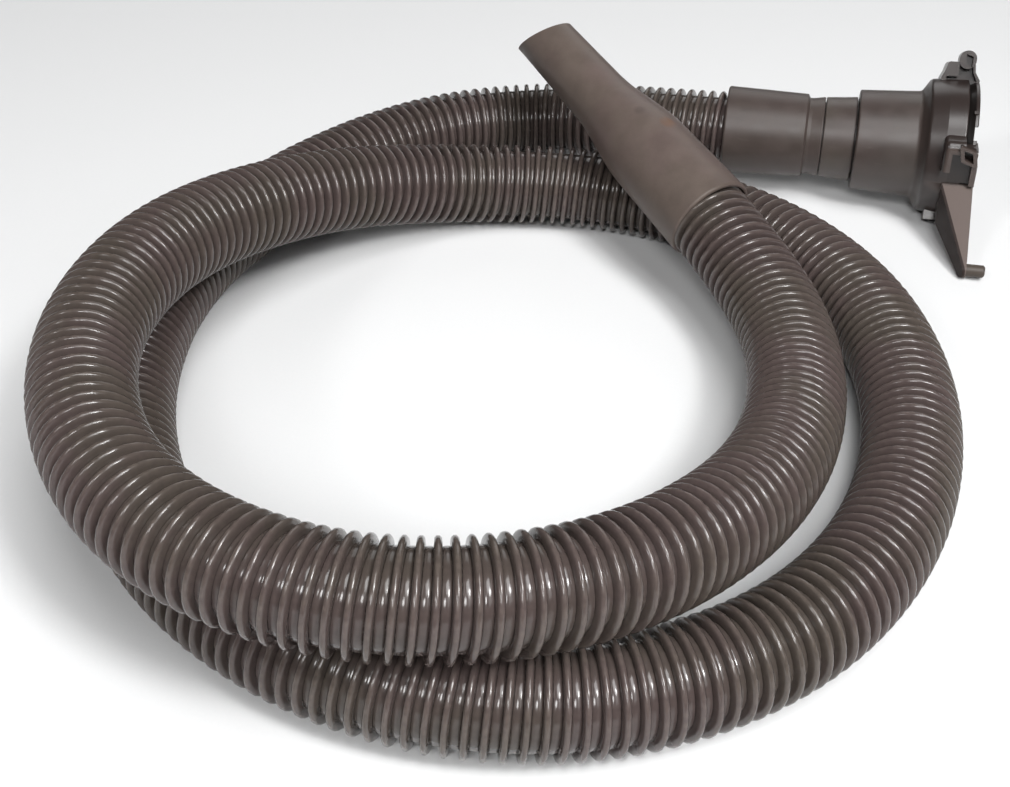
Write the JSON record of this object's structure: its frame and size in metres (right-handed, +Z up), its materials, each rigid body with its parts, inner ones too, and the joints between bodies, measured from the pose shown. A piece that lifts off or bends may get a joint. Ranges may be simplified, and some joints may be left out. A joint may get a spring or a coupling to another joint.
{
  "type": "suction hose with swivel coupling",
  "caption": "Coiled ribbed suction hose with a tapered tool cuff at one end and a swivelling machine coupling with an interlock arm and pin at the other.",
  "frame": {"origin": "on the floor, under the middle of the machine end (coupling, collar and machine cuff)", "axes": "+X along the swivel axis seen from above, from the hose towards the machine; +Y away from the coil; +Z up"},
  "size_m": [0.4004, 0.4774, 0.0953],
  "materials": {
    "hose_plastic": "glossy grey-brown flexible plastic",
    "cuff_plastic": "satin grey-brown moulded plastic",
    "ring_plastic": "dark grey moulded plastic",
    "seal_rubber": "black rubber"
  },
  "bodies": {
    "hose_line": {"hose": "hose_plastic", "machine_cuff": "cuff_plastic", "swivel_collar": "cuff_plastic", "swivel_sleeve": "cuff_plastic", "retaining_ring": "ring_plastic", "tool_cuff": "cuff_plastic"},
    "coupling": {"coupling_body": "cuff_plastic", "sleeve_seal": "seal_rubber", "face_gasket": "seal_rubber", "interlock_pin": "cuff_plastic"}
  },
  "joints": [
    {"name": "coupling_swivel", "type": "hinge", "parent": "hose_line", "child": "coupling", "pos_m": [0.00912, 0.0197, 0.03513], "axis": [0.999, 0, 0.0454], "continuous": true}
  ]
}
